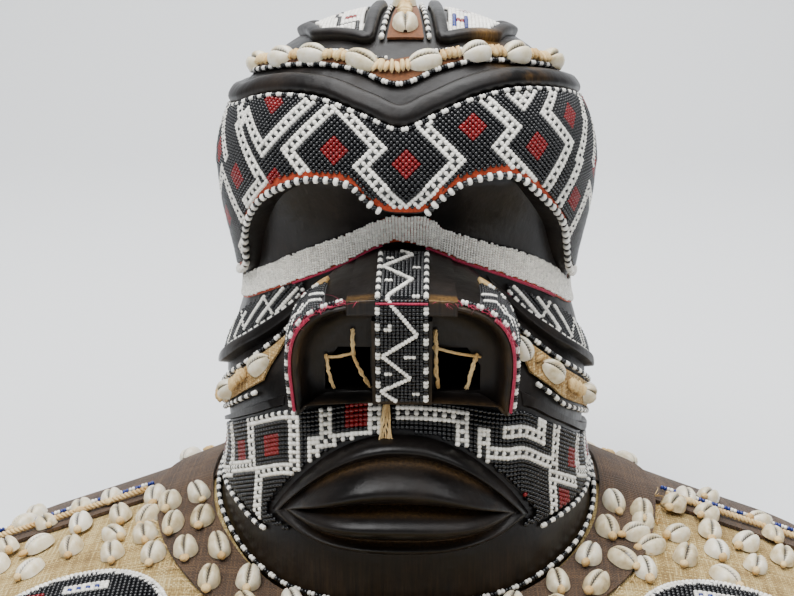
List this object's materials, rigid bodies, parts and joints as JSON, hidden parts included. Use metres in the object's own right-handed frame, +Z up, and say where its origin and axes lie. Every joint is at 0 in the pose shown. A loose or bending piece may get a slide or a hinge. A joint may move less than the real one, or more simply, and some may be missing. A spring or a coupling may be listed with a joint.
{
  "type": "helmet mask",
  "caption": "Carved wooden helmet mask with a broad beaded forehead, bead and cowrie trim and a sloping raffia cloth collar that it stands in.",
  "frame": {"origin": "on the table under the centre of the cloth collar's outline", "axes": "+Z up, the face looks along -Y, the wearer's left hand side is +X"},
  "size_m": [0.6268, 0.566, 0.3891],
  "materials": {
    "carved_wood": "hand-carved, dark, satin from handling",
    "dark_bead_panel": "glass beads, mostly black, with white lines and red squares",
    "white_bead_panel": "glass beads, mostly white, with blue and red figures",
    "white_beads": "opaque white and black glass beads",
    "medallion_beads": "glass beads in slate blue, white and red",
    "cowrie_shell": "polished shell",
    "raffia": "dry plant fibre",
    "tan_cloth": "plain-woven raffia cloth",
    "brown_cloth": "brown woven cloth"
  },
  "bodies": {
    "root": {"wooden_helmet": "carved_wood", "forehead_bead_panel": "dark_bead_panel", "left_eye_arch_bead_string": "white_beads", "right_eye_arch_bead_string": "white_beads", "brow_cloth_band": "brown_cloth", "lower_brow_bead_string": "white_beads", "upper_brow_bead_string": "white_beads", "brow_cowrie_string": "cowrie_shell", "left_crown_bead_panel": "white_bead_panel", "left_crown_bead_string": "white_beads", "right_crown_bead_panel": "white_bead_panel", "right_crown_bead_string": "white_beads", "crown_cloth_strip": "brown_cloth", "crown_cowrie_string": "cowrie_shell", "white_bead_band": "white_beads", "mouth_bead_panel": "dark_bead_panel", "left_jaw_bead_string": "white_beads", "right_jaw_bead_string": "white_beads", "neck_bead_string": "white_beads", "left_eye_bead_panel": "dark_bead_panel", "left_cheek_raffia_band": "raffia", "left_upper_cheek_bead_string": "white_beads", "left_lower_cheek_bead_string": "white_beads", "left_cheek_cowrie_string": "cowrie_shell", "right_eye_bead_panel": "dark_bead_panel", "right_cheek_raffia_band": "raffia", "right_upper_cheek_bead_string": "white_beads", "right_lower_cheek_bead_string": "white_beads", "right_cheek_cowrie_string": "cowrie_shell", "nose_bead_strip": "white_bead_panel", "left_nose_wing_bead_patch": "white_bead_panel", "left_nose_edge_bead_string": "white_beads", "right_nose_wing_bead_patch": "white_bead_panel", "right_nose_edge_bead_string": "white_beads", "left_nostril_raffia_tie": "raffia", "right_nostril_raffia_tie": "raffia", "back_head_cloth": "brown_cloth", "front_collar_panel": "tan_cloth", "back_collar_panel": "brown_cloth", "neck_cloth_band": "brown_cloth", "inner_neck_cowrie_string": "cowrie_shell", "outer_neck_cowrie_string": "cowrie_shell", "left_collar_cowrie_string": "cowrie_shell", "left_bead_medallion": "medallion_beads", "left_layer_rope": "raffia", "left_layer_bead_string": "white_beads", "right_collar_cowrie_string": "cowrie_shell", "right_bead_medallion": "medallion_beads", "right_layer_rope": "raffia", "right_layer_bead_string": "white_beads", "back_collar_cowrie_string": "cowrie_shell"}
  },
  "joints": []
}
